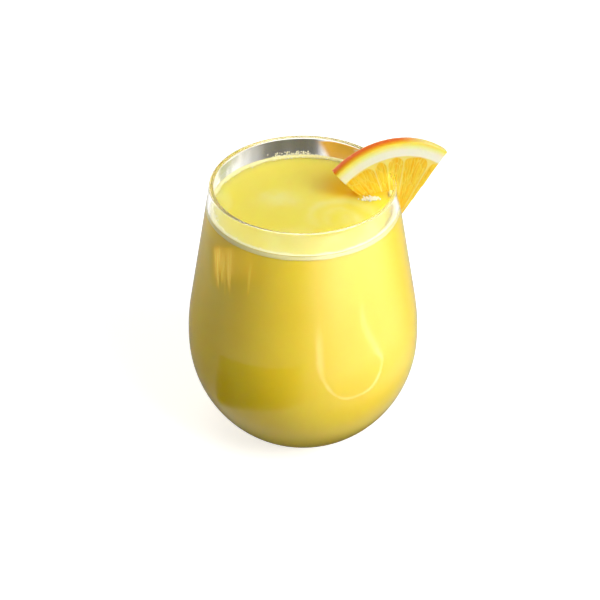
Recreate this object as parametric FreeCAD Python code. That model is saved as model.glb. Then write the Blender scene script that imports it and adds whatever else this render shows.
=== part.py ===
import FreeCAD, Part
import math
import os

from FreeCAD import Placement, Rotation, Vector

# A stemless wine glass of yellow fruit juice with a slit slice of orange pushed over its rim.
# Millimetres and degrees, +Z up. The origin is on the glass's axis, in the plane it stands on.
# The slice hangs on the rim at SLICE_AZIMUTH, turned from +X towards +Y.

# ---- the glass --------------------------------------------------------------------------
HEIGHT = 115.0            # from the table to the crest of the lip
RIM_RADIUS = 34.8         # outside of the lip
BELLY_RADIUS = 46.5       # outside, at the widest place
BELLY_HEIGHT = 43.3       # of the widest place above the table
BASE_RADIUS = 21.0        # where the bowl's outer curve meets the table
SHOULDER_ARC = 100.0      # radius of the curve that turns the belly into the straight flank
WALL = 1.6                # thickness of the blown wall
FLOOR_HEIGHT = 5.2        # from the table to the inside floor, the heavy bottom of the glass
FLOOR_BLEND = 25.0        # radius between the inside floor and the wall
HEEL_ROUND = 1.5          # radius of the outer bottom edge
FOOT_WIDTH = 4.0          # of the flat ring that the glass stands on
PUNT_DEPTH = 1.2          # of the hollow pushed up under the base

# ---- the juice --------------------------------------------------------------------------
FILL_BELOW_RIM = 9.7      # from the crest of the lip down to the juice
MENISCUS_RISE = 0.9       # height that the juice climbs at the glass
MENISCUS_WIDTH = 2.2      # of the ring in which it climbs
MENISCUS_EDGE = 0.15      # thickness of the juice at the top of that climb
JUICE_FILM = 0.05         # clearance between the juice and what it wets

# ---- the slice of orange ----------------------------------------------------------------
SLICE_RADIUS = 35.3       # of the orange, at the middle of the slice's thickness
SLICE_THICKNESS = 5.0
SLICE_ANGLE = 79.6        # between its two cut sides, at the middle of the orange
SLICE_AZIMUTH = 18.5      # round the glass
SLICE_TURN = 2.3          # of the middle of the slice from upright, towards the glass's axis
SLICE_LEAN = 3.6          # of its faces from upright
SLIT_LENGTH = 25.0        # from the tip of the slice to the end of the slit, where it sits on the lip
SLIT_DIRECTION = 94.0     # of that end, seen from the tip, from the outward level direction
SEAT_CLEARANCE = 0.15     # between the sides of the slit and the glass

PITH_WIDTH = 6.0          # of the peel with its white pith
CORE_RADIUS = 2.6         # of the white core at the tip
MEMBRANE = 0.7            # thickness of the skins between the segments
MEMBRANES = (38.0, 59.8, 82.5, 96.8, 108.0, 142.0)  # their directions, those past the cut sides too
FLESH_SINK = 0.4          # depth of the flesh below the pith and the skins, on both faces
SEGMENT_ROUND = 2.0       # radius of a segment's corners under the pith
SEGMENT_TIP = 1.0         # width of a segment's end at the core


def point(radius, height):
    """A point of a lathe profile, in the XZ plane."""
    return Vector(radius, 0, height)


def polar(length, degrees):
    """The vector of a length at an angle from +X towards +Y."""
    angle = math.radians(degrees)
    return Vector(length * math.cos(angle), length * math.sin(angle), 0)


def line(start, end):
    return Part.LineSegment(start, end).toShape()


def arc(start, middle, end):
    return Part.Arc(start, middle, end).toShape()


def arc_about(centre, start, end):
    """The shorter arc round a centre from one point to another."""
    halfway = (start - centre).normalize() + (end - centre).normalize()
    middle = centre + halfway.normalize() * (start - centre).Length
    return arc(start, middle, end)


def turned(edges):
    """The solid made by a closed profile turned once round the glass's axis."""
    face = Part.Face(Part.Wire(edges))
    return face.revolve(Vector(0, 0, 0), Vector(0, 0, 1), 360)


# ---- lines of the glass, which the juice and the slit in the slice follow too ----------------

# The bowl is one arc through the belly and the base, and the shoulder another that meets it
# at the belly. The flank is the straight line that leaves the shoulder and ends in the lip.
belly_to_base = BELLY_RADIUS - BASE_RADIUS
bowl_arc = (belly_to_base ** 2 + BELLY_HEIGHT ** 2) / (2 * belly_to_base)
bowl_centre = point(BELLY_RADIUS - bowl_arc, BELLY_HEIGHT)
shoulder_centre = point(BELLY_RADIUS - SHOULDER_ARC, BELLY_HEIGHT)
lip_centre = point(RIM_RADIUS - WALL / 2, HEIGHT - WALL / 2)

to_lip = lip_centre - shoulder_centre
flank_angle = math.atan2(to_lip.z, to_lip.x) - math.acos((SHOULDER_ARC - WALL / 2) / to_lip.Length)
flank_out = point(math.cos(flank_angle), math.sin(flank_angle))
flank_up = point(-math.sin(flank_angle), math.cos(flank_angle))


def belly(depth):
    """The widest point of the surface that lies a depth inside the glass's outer surface."""
    return point(BELLY_RADIUS - depth, BELLY_HEIGHT)


def flank_start(depth):
    return shoulder_centre + flank_out * (SHOULDER_ARC - depth)


def flank_end(depth):
    return lip_centre + flank_out * (WALL / 2 - depth)


def bowl_corner(depth, height, radius):
    """Where an arc of this radius joins the level plane at a height to the bowl's arc at a depth.

    The arc's centre is one radius above the plane and one radius inside the bowl's arc.
    """
    reach = bowl_arc - depth - radius
    rise = height + radius
    across = math.sqrt(reach ** 2 - (BELLY_HEIGHT - rise) ** 2)
    centre = point(bowl_centre.x + across, rise)
    on_bowl = bowl_centre + (centre - bowl_centre).normalize() * (bowl_arc - depth)
    return centre, point(centre.x, height), on_bowl


def bowl_edges(depth, height, radius):
    """The rounded corner at the bottom of the bowl and its arc up to the belly."""
    centre, on_plane, on_bowl = bowl_corner(depth, height, radius)
    return [
        arc_about(centre, on_plane, on_bowl),
        arc_about(bowl_centre, on_bowl, belly(depth)),
    ]


def side_edges(depth):
    """The shoulder and the flank, from the belly to the lip."""
    return [
        arc_about(shoulder_centre, belly(depth), flank_start(depth)),
        line(flank_start(depth), flank_end(depth)),
    ]


def lip_edge(growth=0.0):
    """The half round over the wall's top, grown outwards for what must clear it."""
    radius = WALL / 2 + growth
    crest = lip_centre + flank_up * radius
    return arc(lip_centre + flank_out * radius, crest, lip_centre - flank_out * radius)


def inner_radius(height, depth):
    """The radius of the surface at a depth, at any height above the inside floor."""
    if height < BELLY_HEIGHT:
        return bowl_centre.x + math.sqrt((bowl_arc - depth) ** 2 - (height - BELLY_HEIGHT) ** 2)
    start = flank_start(depth)
    if height < start.z:
        return shoulder_centre.x + math.sqrt((SHOULDER_ARC - depth) ** 2 - (height - BELLY_HEIGHT) ** 2)
    return start.x - (height - start.z) * math.tan(flank_angle)


def make_glass():
    """The blown bowl with its heavy bottom, punt, foot ring and round lip, in one turning."""
    _, heel, _ = bowl_corner(0.0, 0.0, HEEL_ROUND)
    _, floor_edge, _ = bowl_corner(WALL, FLOOR_HEIGHT, FLOOR_BLEND)
    foot = point(heel.x - FOOT_WIDTH, 0)
    punt_top = point(0, PUNT_DEPTH)
    punt_radius = (foot.x ** 2 + PUNT_DEPTH ** 2) / (2 * PUNT_DEPTH)
    punt = arc_about(point(0, PUNT_DEPTH - punt_radius), punt_top, foot)
    outside = [punt, line(foot, heel)] + bowl_edges(0.0, 0.0, HEEL_ROUND) + side_edges(0.0)
    inside = side_edges(WALL) + bowl_edges(WALL, FLOOR_HEIGHT, FLOOR_BLEND)
    floor_middle = point(0, FLOOR_HEIGHT)
    floor = [line(floor_edge, floor_middle), line(floor_middle, punt_top)]
    return turned(Part.__sortEdges__(outside + [lip_edge()] + inside + floor))


def make_wall_envelope():
    """The glass above its belly, grown by the seat's clearance: it cuts the slit in the slice."""
    outside = side_edges(-SEAT_CLEARANCE)
    inside = side_edges(WALL + SEAT_CLEARANCE)
    foot = line(belly(-SEAT_CLEARANCE), belly(WALL + SEAT_CLEARANCE))
    return turned(Part.__sortEdges__(outside + [lip_edge(SEAT_CLEARANCE)] + inside + [foot]))


def make_juice(slice_envelope):
    """What fills the glass up to the juice's level, with its climb at the wall, cut round the slice."""
    depth = WALL + JUICE_FILM
    floor = FLOOR_HEIGHT + JUICE_FILM
    level = HEIGHT - FILL_BELOW_RIM
    _, floor_edge, _ = bowl_corner(depth, floor, FLOOR_BLEND)
    brim = flank_end(depth)
    axis_top = point(0, brim.z)
    axis_floor = point(0, floor)
    inside = bowl_edges(depth, floor, FLOOR_BLEND) + side_edges(depth)
    cap = [line(brim, axis_top), line(axis_top, axis_floor), line(axis_floor, floor_edge)]
    filling = turned(Part.__sortEdges__(inside + cap))

    # The air above the juice: a level surface that curls up towards the wall and ends
    # in a thin standing edge there.
    climb_top = level + MENISCUS_RISE
    climb_end = point(inner_radius(climb_top, depth) - MENISCUS_EDGE, climb_top)
    climb_turn = point(inner_radius(level, depth) - MENISCUS_EDGE, level)
    climb_start = point(climb_turn.x - MENISCUS_WIDTH, level)
    curl = Part.BezierCurve()
    curl.setPoles([climb_start, climb_turn, climb_end])
    far = point(BELLY_RADIUS, climb_top)
    far_top = point(BELLY_RADIUS, HEIGHT)
    air = turned([
        line(point(0, level), climb_start),
        curl.toShape(),
        line(climb_end, far),
        line(far, far_top),
        line(far_top, point(0, HEIGHT)),
        line(point(0, HEIGHT), point(0, level)),
    ])
    return filling.cut(air).cut(slice_envelope)


# ---- the slice, drawn flat with its tip at the origin and then hung on the rim ---------------

def cut_sides():
    """The directions of the slice's two cut sides, seen from its tip."""
    middle = 90 + SLICE_TURN
    return middle - SLICE_ANGLE / 2, middle + SLICE_ANGLE / 2


def make_wedge(growth=0.0):
    """The plain wedge of a ball: two flat faces, two cut sides and the round outside of the peel."""
    first, last = cut_sides()
    thickness = SLICE_THICKNESS + 2 * growth
    tip = -polar(growth / math.sin(math.radians(SLICE_ANGLE / 2)), (first + last) / 2)
    beyond = 2 * (SLICE_RADIUS + growth)
    corners = [tip, tip + polar(beyond, first), tip + polar(beyond, last), tip]
    outline = Part.Face(Part.makePolygon(corners))
    outline.translate(Vector(0, 0, -thickness / 2))
    return outline.extrude(Vector(0, 0, thickness)).common(Part.makeSphere(SLICE_RADIUS + growth))


def segment_pocket(first, last):
    """The flesh of one segment between two skins, as deep as it lies below them.

    Its sides run along the skins. It ends in a round-cornered arc under the pith and is cut
    short beside the core, where the skins meet.
    """
    middle = (first + last) / 2
    half = math.radians((last - first) / 2)
    apex = MEMBRANE / 2 / math.sin(half)
    start = max(CORE_RADIUS, apex + SEGMENT_TIP / 2 / math.tan(half))
    flesh_radius = SLICE_RADIUS - PITH_WIDTH
    # The side's distance from the tip of the slice is half a skin, so its far end is
    # turned back from the skin's middle by this much.
    setback = math.degrees(math.asin(MEMBRANE / 2 / flesh_radius))
    half_start = (start - apex) * math.tan(half)
    out = polar(1, middle)
    across = polar(1, middle + 90)
    near_first = out * start - across * half_start
    near_last = out * start + across * half_start
    far_first = polar(flesh_radius, first + setback)
    far_last = polar(flesh_radius, last - setback)
    outline = Part.Wire([
        line(near_first, far_first),
        arc(far_first, polar(flesh_radius, middle), far_last),
        line(far_last, near_last),
        line(near_last, near_first),
    ])
    pocket = Part.Face(outline).extrude(Vector(0, 0, FLESH_SINK))
    width = (far_last - far_first).Length
    corners = [
        edge for edge in pocket.Edges
        if abs(edge.tangentAt(edge.FirstParameter).z) > 0.9
        and edge.CenterOfMass.Length > flesh_radius / 2 + start / 2
    ]
    return pocket.makeFillet(min(SEGMENT_ROUND, 0.35 * width), corners)


def make_flat_slice():
    """The wedge with its segments sunk a little below the pith and the skins, on both faces."""
    flesh = SLICE_THICKNESS / 2 - FLESH_SINK
    wedge = make_wedge()
    for first, last in zip(MEMBRANES, MEMBRANES[1:]):
        pocket = segment_pocket(first, last)
        for side in (flesh, -SLICE_THICKNESS / 2):
            sunk = pocket.copy()
            sunk.translate(Vector(0, 0, side))
            wedge = wedge.cut(sunk)
    return wedge


def hung_on_rim():
    """The placement that stands the flat slice up on the lip, at the end of its slit."""
    turn = Rotation(Vector(0, 0, 1), SLICE_AZIMUTH) * Rotation(Vector(1, 0, 0), 90 - SLICE_LEAN)
    slit_end = turn.multVec(polar(SLIT_LENGTH, SLIT_DIRECTION))
    crest = polar(lip_centre.x, SLICE_AZIMUTH) + Vector(0, 0, HEIGHT + SEAT_CLEARANCE)
    return Placement(crest - slit_end, turn)


def placed(shape):
    shape.Placement = hung_on_rim()
    return shape


glass = make_glass()
orange_slice = placed(make_flat_slice()).cut(make_wall_envelope())
juice = make_juice(placed(make_wedge(JUICE_FILM)))

os.makedirs("parts", exist_ok=True)
for name, shape in (("glass", glass), ("juice", juice), ("orange_slice", orange_slice)):
    solids = shape.Solids
    assert len(solids) == 1 and solids[0].isValid(), name + " is not one sound solid"
    solids[0].exportStep("parts/" + name + ".step")
    print(name, "volume", round(solids[0].Volume / 1000, 2), "ml", solids[0].BoundBox)
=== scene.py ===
# %% [markdown]
# # A glass of juice with a slice of orange
# The object is a stemless wine glass, filled almost to the rim with thick yellow juice,
# with a slit slice of orange pushed over the rim. The solids come from the CAD frame and
# give the sizes and places. This lesson builds what is looked at: clear glass, opaque
# juice with a rim of foam, and a slice with peel, pith, skins and pulp.

# %% Load the frame
import math

import bpy
import numpy as np
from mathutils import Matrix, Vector


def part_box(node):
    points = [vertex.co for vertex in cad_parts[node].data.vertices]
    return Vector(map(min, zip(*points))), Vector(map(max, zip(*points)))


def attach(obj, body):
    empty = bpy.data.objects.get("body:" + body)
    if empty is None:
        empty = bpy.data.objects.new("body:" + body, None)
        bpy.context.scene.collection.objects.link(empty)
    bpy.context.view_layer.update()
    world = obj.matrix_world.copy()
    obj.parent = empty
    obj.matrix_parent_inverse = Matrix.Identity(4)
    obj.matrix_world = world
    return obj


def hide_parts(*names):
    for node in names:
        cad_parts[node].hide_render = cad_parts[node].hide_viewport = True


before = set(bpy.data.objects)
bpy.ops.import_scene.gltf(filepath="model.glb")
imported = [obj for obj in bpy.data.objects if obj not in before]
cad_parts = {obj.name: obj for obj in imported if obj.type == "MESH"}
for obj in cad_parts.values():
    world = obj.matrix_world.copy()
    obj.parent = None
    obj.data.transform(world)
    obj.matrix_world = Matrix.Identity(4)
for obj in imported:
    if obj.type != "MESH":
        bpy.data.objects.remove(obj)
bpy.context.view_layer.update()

MM = 0.001
glass_low, glass_high = (np.array(corner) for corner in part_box("glass"))
glass_height = glass_high[2]
belly_radius = (glass_high[0] - glass_low[0]) / 2
print("glass", round(glass_height / MM, 1), "mm tall,", round(2 * belly_radius / MM, 1), "mm wide")

# %% [markdown]
# ## Meshes from arrays
# A surface can be sculpted, built by modifiers or computed. Here each one is a function of
# two parameters on a grid, because glass and liquid are exact turned shapes and the pulp is
# a pattern that is easier to say as a formula than to draw. These helpers put whole arrays
# into a mesh, without a loop over its vertices.

# %% Helpers for grids and noise
def add_piece(name, points, quads, triangles=None):
    """A smooth mesh object from an array of points and arrays of four- and three-cornered faces."""
    triangles = np.zeros((0, 3), int) if triangles is None else triangles
    mesh = bpy.data.meshes.new(name)
    mesh.vertices.add(len(points))
    mesh.vertices.foreach_set("co", np.asarray(points, float).ravel())
    corners = np.concatenate([np.ravel(quads), np.ravel(triangles)]).astype(np.int32)
    counts = np.concatenate([np.full(len(quads), 4), np.full(len(triangles), 3)])
    mesh.loops.add(len(corners))
    mesh.loops.foreach_set("vertex_index", corners)
    mesh.polygons.add(len(counts))
    starts = np.concatenate([[0], np.cumsum(counts)[:-1]]).astype(np.int32)
    mesh.polygons.foreach_set("loop_start", starts)
    mesh.polygons.foreach_set("use_smooth", np.ones(len(counts), bool))
    mesh.update(calc_edges=True)
    mesh.validate()
    piece = bpy.data.objects.new(name, mesh)
    bpy.context.scene.collection.objects.link(piece)
    return piece


def grid_quads(rows, columns, wrap=False):
    """The faces of a grid of points stored row by row; wrap joins the last column to the first."""
    row = np.arange(rows - 1)[:, None]
    column = np.arange(columns if wrap else columns - 1)[None, :]
    following = (column + 1) % columns
    here = row * columns
    above = here + columns
    return np.stack([here + column, here + following, above + following, above + column], -1).reshape(-1, 4)


def round_axis(radius, bearing, height):
    """Points at a distance from the glass's axis, a bearing in radians and a height."""
    x, y = radius * np.cos(bearing), radius * np.sin(bearing)
    return np.stack([x, y, np.broadcast_to(height, x.shape)], -1)


def turned_piece(name, radius, height, steps):
    """A lathe turning: the point at parameters (i, a) is (r_i cos a, r_i sin a, z_i).

    The profile starts and ends on the axis, where each ring shrinks to one shared point.
    radius and height may also be arrays of one row per profile point and one column per step.
    """
    angle = np.arange(steps) * 2 * np.pi / steps
    shape = (len(radius), steps)
    radius = np.broadcast_to(np.reshape(radius, (len(radius), -1)), shape)
    height = np.broadcast_to(np.reshape(height, (len(height), -1)), shape)
    rings = round_axis(radius, angle, height)[1:-1]
    count = rings.shape[0] * steps
    poles = np.array([[0, 0, height[0, 0]], [0, 0, height[-1, 0]]])
    points = np.concatenate([rings.reshape(-1, 3), poles])
    first = np.arange(steps)
    after = (first + 1) % steps
    last = count - steps
    bottom = np.stack([np.full(steps, count), after, first], -1)
    top = np.stack([np.full(steps, count + 1), last + first, last + after], -1)
    sides = grid_quads(rings.shape[0], steps, wrap=True)
    return add_piece(name, points, sides, np.concatenate([bottom, top]))


def scatter(x, y, seed):
    """A number from 0 to 1 for each pair of whole numbers, the same in each run.

    The factors are large and unrelated, so that neighbours get values with nothing in common.
    """
    factor_x, factor_y, factor_seed, spread = 127.1, 311.7, 74.7, 43758.5453
    return np.abs(np.sin(x * factor_x + y * factor_y + seed * factor_seed) * spread) % 1.0


def soft_noise(x, y, seed=0, octaves=1):
    """Value noise: random heights at whole coordinates with smooth slopes between, from -1 to 1.

    Each further octave adds the same at twice the fineness and half the height.
    """
    total, weight, size = 0.0, 1.0, 0.0
    shift_x, shift_y = 17.3, 9.1
    for octave in range(octaves):
        floor_x, floor_y = np.floor(x), np.floor(y)
        part_x, part_y = x - floor_x, y - floor_y
        part_x, part_y = part_x ** 2 * (3 - 2 * part_x), part_y ** 2 * (3 - 2 * part_y)
        corner = [[scatter(floor_x + i, floor_y + j, seed + octave) for j in (0, 1)] for i in (0, 1)]
        low = corner[0][0] * (1 - part_y) + corner[0][1] * part_y
        high = corner[1][0] * (1 - part_y) + corner[1][1] * part_y
        total = total + weight * (2 * (low * (1 - part_x) + high * part_x) - 1)
        size += weight
        x, y, weight = x * 2 + shift_x, y * 2 + shift_y, weight / 2
    return total / size


def smooth_step(low, high, value):
    """0 below low, 1 above high, and a smooth rise between."""
    part = np.clip((value - low) / (high - low), 0, 1)
    return part ** 2 * (3 - 2 * part)


def band(value, start, full, fading, gone):
    """0 up to start, 1 from full to fading, 0 again from gone on, with smooth slopes between."""
    return smooth_step(start, full, value) * smooth_step(gone, fading, value)


def bell(value, width):
    """1 at 0, and a smooth fall to both sides within about a width."""
    return np.exp(-(value / width) ** 2)


# %% [markdown]
# ## The lines of the glass
# A blown stemless glass is one smooth curve: an arc from the base through the belly, a
# flatter arc over the shoulder and an almost straight flank that leans in to the lip. Every
# other line, such as the inside of the wall or the side of the juice, lies at a constant
# depth inside that curve, so one function of the depth gives them all.

# %% Sizes of the glass and its curve at any depth
belly_height = 43.3 * MM
base_radius = 21.0 * MM
rim_radius = 34.8 * MM
shoulder_arc = 100.0 * MM
wall = 1.6 * MM
floor_height = 5.2 * MM
floor_blend = 25.0 * MM
heel_round = 1.5 * MM
foot_width = 4.0 * MM
punt_depth = 1.2 * MM
juice_level = glass_height - 9.7 * MM

belly_to_base = belly_radius - base_radius
bowl_arc = (belly_to_base ** 2 + belly_height ** 2) / (2 * belly_to_base)
bowl_centre = np.array([belly_radius - bowl_arc, belly_height])
shoulder_centre = np.array([belly_radius - shoulder_arc, belly_height])
lip_centre = np.array([rim_radius - wall / 2, glass_height - wall / 2])
to_lip = lip_centre - shoulder_centre
flank_turn = math.acos((shoulder_arc - wall / 2) / np.hypot(*to_lip))
flank_angle = math.atan2(to_lip[1], to_lip[0]) - flank_turn
flank_out = np.array([math.cos(flank_angle), math.sin(flank_angle)])


def arc_points(centre, radius, start, end, count):
    """Points (centre + radius * direction) at even angles, start and end in radians."""
    angle = np.linspace(start, end, count)
    return centre + radius * np.stack([np.cos(angle), np.sin(angle)], -1)


def angle_from(centre, point):
    """The direction from a centre to a point, in radians."""
    return math.atan2(point[1] - centre[1], point[0] - centre[0])


def bowl_points(depth, height, blend, count=60):
    """From the level bottom at a height, round the blend and up the bowl's arc to the belly."""
    across = math.sqrt((bowl_arc - depth - blend) ** 2 - (belly_height - height - blend) ** 2)
    centre = np.array([bowl_centre[0] + across, height + blend])
    meeting = angle_from(bowl_centre, centre)
    corner = arc_points(centre, blend, -math.pi / 2, meeting, count // 2)
    return np.concatenate([corner, arc_points(bowl_centre, bowl_arc - depth, meeting, 0, count)[1:]])


def side_points(depth, count=60):
    """From the belly over the shoulder and up the flank to the lip."""
    shoulder = arc_points(shoulder_centre, shoulder_arc - depth, 0, flank_angle, count // 2)
    part = np.linspace(0, 1, count)[1:, None]
    end = lip_centre + flank_out * (wall / 2 - depth)
    return np.concatenate([shoulder[1:], shoulder[-1] + part * (end - shoulder[-1])])


def inside_radius(height, depth=wall):
    """The radius of the curve at a depth, at heights between the belly and the lip."""
    curve = side_points(depth)
    return np.interp(height, curve[:, 1], curve[:, 0])


def to_axis(point, count=6):
    """Level points from the axis out to a point, without the point itself."""
    part = np.linspace(0, 1, count, endpoint=False)
    return np.stack([part * point[0], np.full(count, point[1])], -1)


print("bowl arc", round(bowl_arc / MM, 1), "mm, flank leans", round(math.degrees(flank_angle), 1), "degrees")

# %% [markdown]
# ## The glass
# The glass is thin at the wall, round at the lip and heavy at the bottom, with a shallow
# hollow, the punt, pushed up under it. It could be a Screw modifier on a curve. A computed
# turning gives the same shape with evenly fine rings, which matters because clear glass
# shows every facet as a bent highlight.

# %% Turn the glass
turn_steps = 256
lip_steps = 16
punt_steps = 16
outside = np.concatenate([bowl_points(0, 0, heel_round), side_points(0)])
inside = np.concatenate([bowl_points(wall, floor_height, floor_blend), side_points(wall)])
lip = arc_points(lip_centre, wall / 2, flank_angle, flank_angle + math.pi, lip_steps)[1:-1]
foot_radius = outside[0, 0] - foot_width
punt_radius = (foot_radius ** 2 + punt_depth ** 2) / (2 * punt_depth)
punt_centre = np.array([0, punt_depth - punt_radius])
punt_edge = angle_from(punt_centre, np.array([foot_radius, 0]))
punt = arc_points(punt_centre, punt_radius, math.pi / 2, punt_edge, punt_steps)
punt[0, 0] = 0  # exactly on the axis
profile = np.concatenate([punt, outside, lip, inside[::-1], to_axis(inside[0])[::-1]])
glass = turned_piece("glass_bowl", profile[:, 0], profile[:, 1], turn_steps)
print("glass faces", len(glass.data.polygons))


# %% [markdown]
# ## Clear glass
# Glass is a Principled shader with full transmission. Light from the lamps would reach what
# is inside only by chance paths through two refractions, so for shadow rays a Transparent
# shader takes over, tinted as much as a thin wall takes from the light.

# %% Material helpers and the glass material
def new_material(name, **values):
    """A material with one Principled shader whose sockets get the named values."""
    material = bpy.data.materials.new(name)
    material.use_nodes = True
    shader = material.node_tree.nodes["Principled BSDF"]
    for key, value in values.items():
        shader.inputs[key.replace("_", " ")].default_value = value
    return material, material.node_tree, shader


def node(tree, kind, **settings):
    """A new node of a kind. Settings named in_SOCKET fill sockets, and the others fill properties."""
    made = tree.nodes.new(kind)
    for key, value in settings.items():
        if key.startswith("in_"):
            made.inputs[key[3:].replace("_", " ")].default_value = value
        else:
            setattr(made, key, value)
    return made


def ramp(tree, factor, stops):
    """A colour ramp through (place, colour) stops, driven by a factor."""
    made = tree.nodes.new("ShaderNodeValToRGB")
    elements = made.color_ramp.elements
    while len(elements) < len(stops):
        elements.new(0.5)
    for element, (place, colour) in zip(elements, stops):
        element.position = place
        element.color = (*colour, 1)
    tree.links.new(factor, made.inputs["Fac"])
    return made.outputs["Color"]


def attribute(tree, name):
    """The number that the mesh stores at each point under a name."""
    return node(tree, "ShaderNodeAttribute", attribute_name=name).outputs["Fac"]


def mixed(tree, factor, first, second):
    """A colour between two, by a factor. Each may be a socket or a plain colour."""
    made = node(tree, "ShaderNodeMix", data_type="RGBA")
    for socket, value in ((0, factor), (6, first), (7, second)):
        if isinstance(value, bpy.types.NodeSocket):
            tree.links.new(value, made.inputs[socket])
        else:
            made.inputs[socket].default_value = value if socket == 0 else (*value, 1)
    return made.outputs[2]


def let_lamps_through(tree, shader, tint):
    """Swaps a shader for a tinted Transparent one where a ray is on its way to a lamp."""
    output = tree.nodes["Material Output"]
    clear = node(tree, "ShaderNodeBsdfTransparent", in_Color=(*tint, 1))
    path = node(tree, "ShaderNodeLightPath")
    choice = node(tree, "ShaderNodeMixShader")
    tree.links.new(path.outputs["Is Shadow Ray"], choice.inputs[0])
    tree.links.new(shader.outputs[0], choice.inputs[1])
    tree.links.new(clear.outputs[0], choice.inputs[2])
    tree.links.new(choice.outputs[0], output.inputs["Surface"])


glass_tint = (0.96, 0.96, 0.95)
glass_material, glass_tree, glass_shader = new_material(
    "clear_glass", Base_Color=(0.985, 0.99, 0.99, 1), Roughness=0.0, IOR=1.5, Transmission_Weight=1.0)
let_lamps_through(glass_tree, glass_shader, glass_tint)
glass.data.materials.append(glass_material)
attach(glass, "root")
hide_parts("glass")


# %% [markdown]
# ## Where the slice hangs
# The slice is drawn flat, with its tip at the origin, and stood up on the rim: outward from
# the glass's axis, upward, and through its thickness towards the front. The end of its slit
# sits on the lip. Both the slice and the juice need this frame, since the juice creeps up
# where the slice dips into it.

# %% The slice's own frame
slice_radius = 35.3 * MM
slice_thickness = 5.0 * MM
slice_middle = math.radians(92.3)
slice_half = math.radians(39.8)
slice_azimuth = math.radians(18.5)
slice_lean = math.radians(3.6)
slit_length = 25.0 * MM
slit_direction = math.radians(94.0)
seat_clearance = 0.15 * MM

outward = np.array([math.cos(slice_azimuth), math.sin(slice_azimuth), 0])
level_front = np.array([math.sin(slice_azimuth), -math.cos(slice_azimuth), 0])
upright = np.array([0, 0, 1.0])
upward = upright * math.cos(slice_lean) - level_front * math.sin(slice_lean)
frontward = level_front * math.cos(slice_lean) + upright * math.sin(slice_lean)
crest = outward * lip_centre[0] + upright * (glass_height + seat_clearance)
slice_tip = crest - slit_length * (outward * math.cos(slit_direction) + upward * math.sin(slit_direction))


def to_slice(points):
    """Points in the slice's frame: outward, upward and frontward from the middle of its tip."""
    return (points - slice_tip) @ np.stack([outward, upward, frontward], -1)


def from_slice(points):
    """Points of the slice's frame, placed in the world."""
    return slice_tip + points @ np.stack([outward, upward, frontward])


def distance_to_slice(points):
    """How far points lie from the wedge: past its left cut side, or in front of or behind it."""
    local = to_slice(points)
    left = slice_middle + slice_half
    past_side = local[..., 0] * -math.sin(left) + local[..., 1] * math.cos(left)
    past_face = np.abs(local[..., 2]) - slice_thickness / 2
    return np.hypot(np.maximum(past_side, 0), np.maximum(past_face, 0))


print("tip of the slice at", np.round(slice_tip / MM, 2), "mm")

# %% [markdown]
# ## The juice
# Juice fills the glass, so its side must not leave a film of air behind the glass. The piece
# reaches a little way into the wall. Its top is nearly level: it climbs in a meniscus at the
# glass and round the slice, and thick juice keeps the low ridges of the last stir.

# %% Turn the juice, with a living surface
wall_overlap = 0.12 * MM
meniscus_rise = 0.9 * MM
meniscus_width = 1.1 * MM
ripple_height = 0.10 * MM
stir_middle = np.array([4.0, -6.0]) * MM
stir_pitch = 9 * MM
stir_calm = 14 * MM
top_rings = 150

juice_depth = wall - wall_overlap
climb_top = juice_level + meniscus_rise
bowl_side = bowl_points(juice_depth, floor_height - wall_overlap, floor_blend)
side = np.concatenate([bowl_side, side_points(juice_depth)])
side = side[side[:, 1] < climb_top]
brim_radius = inside_radius(climb_top, juice_depth)
side = np.concatenate([to_axis(side[0]), side, [[brim_radius, climb_top]]])


def stir(x, y):
    """The slow swirl of the surface: a spiral whose arms are bent by soft noise, from -1 to 1."""
    bend = 2.2 * soft_noise(x / (17 * MM), y / (17 * MM), seed=3, octaves=2)
    off_x, off_y = x - stir_middle[0], y - stir_middle[1]
    turn = np.arctan2(off_y, off_x) + np.hypot(x, y) / stir_pitch + bend
    return np.sin(turn) * smooth_step(0, stir_calm, np.hypot(off_x, off_y))


def surface_height(x, y):
    """The juice's level plus its ridges and its climb at the wall and at the slice."""
    to_wall = np.maximum(brim_radius - np.hypot(x, y), 0)
    points = np.stack([x, y, np.full(x.shape, juice_level)], -1)
    at_wall = meniscus_rise * np.exp(-to_wall / meniscus_width)
    at_slice = meniscus_rise * np.exp(-distance_to_slice(points) / meniscus_width)
    fine = soft_noise(x / (5 * MM), y / (5 * MM), seed=11, octaves=3)
    calm = 1 - np.exp(-to_wall / (3 * MM))
    ridges = ripple_height * calm * (0.7 * stir(x, y) + 0.5 * fine)
    return juice_level + np.maximum(at_wall, at_slice) + ridges


angle = np.arange(turn_steps) * 2 * np.pi / turn_steps
ring = (1 - np.linspace(0, 1, top_rings + 1)[1:])[:, None] * brim_radius
top_heights = surface_height(ring * np.cos(angle), ring * np.sin(angle))
radii = np.concatenate([np.repeat(side[:, :1], turn_steps, 1), np.repeat(ring, turn_steps, 1)])
heights = np.concatenate([np.repeat(side[:, 1:], turn_steps, 1), top_heights])
heights[-1] = heights[-1].mean()
juice = turned_piece("juice_filling", radii, heights, turn_steps)
print("juice faces", len(juice.data.polygons), "level", round(juice_level / MM, 1), "mm")
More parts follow.
